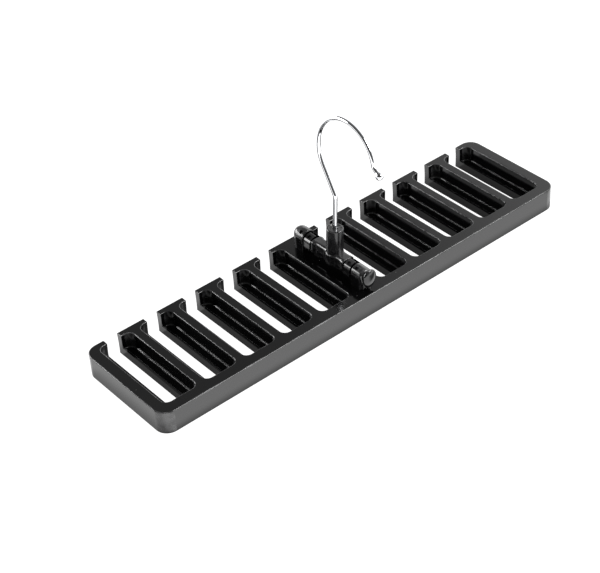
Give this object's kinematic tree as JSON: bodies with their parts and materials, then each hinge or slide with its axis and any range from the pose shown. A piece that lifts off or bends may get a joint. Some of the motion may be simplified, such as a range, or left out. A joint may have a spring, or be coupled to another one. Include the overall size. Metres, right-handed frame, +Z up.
{
  "type": "tie hanger",
  "caption": "Flat comb rack with open slots for neckties, carrying a wire hook that tilts on a cross hinge and swivels in its collar.",
  "frame": {"origin": "middle of the rack's underside", "axes": "+X along the rack, +Y from the closed rail to the open slot mouths, +Z up out of the rack towards the hook"},
  "size_m": [0.305, 0.0792, 0.1179],
  "materials": {
    "rack_plastic": "gloss black, moulded",
    "pin_plastic": "gloss black, moulded",
    "hinge_plastic": "satin to gloss black, moulded",
    "washer_steel": "plain",
    "hook_chrome": "bright plated wire"
  },
  "bodies": {
    "rack": {"rack": "rack_plastic", "pivot_pin": "pin_plastic", "front_clip": "hinge_plastic", "rear_clip": "hinge_plastic"},
    "swivel_block": {"swivel_block": "hinge_plastic"},
    "hook": {"hook_wire": "hook_chrome", "hook_tip": "hook_chrome", "stem_washer": "washer_steel"}
  },
  "joints": [
    {"name": "hook_tilt", "type": "hinge", "parent": "rack", "child": "swivel_block", "pos_m": [0, -0.00075, 0.0229], "axis": [0, 1, 0], "range_deg": [-97, 89]},
    {"name": "hook_swivel", "type": "hinge", "parent": "swivel_block", "child": "hook", "pos_m": [0, -0.003, 0.0229], "axis": [0.0698, 0, 0.9976], "range_deg": [-180, 180]}
  ]
}
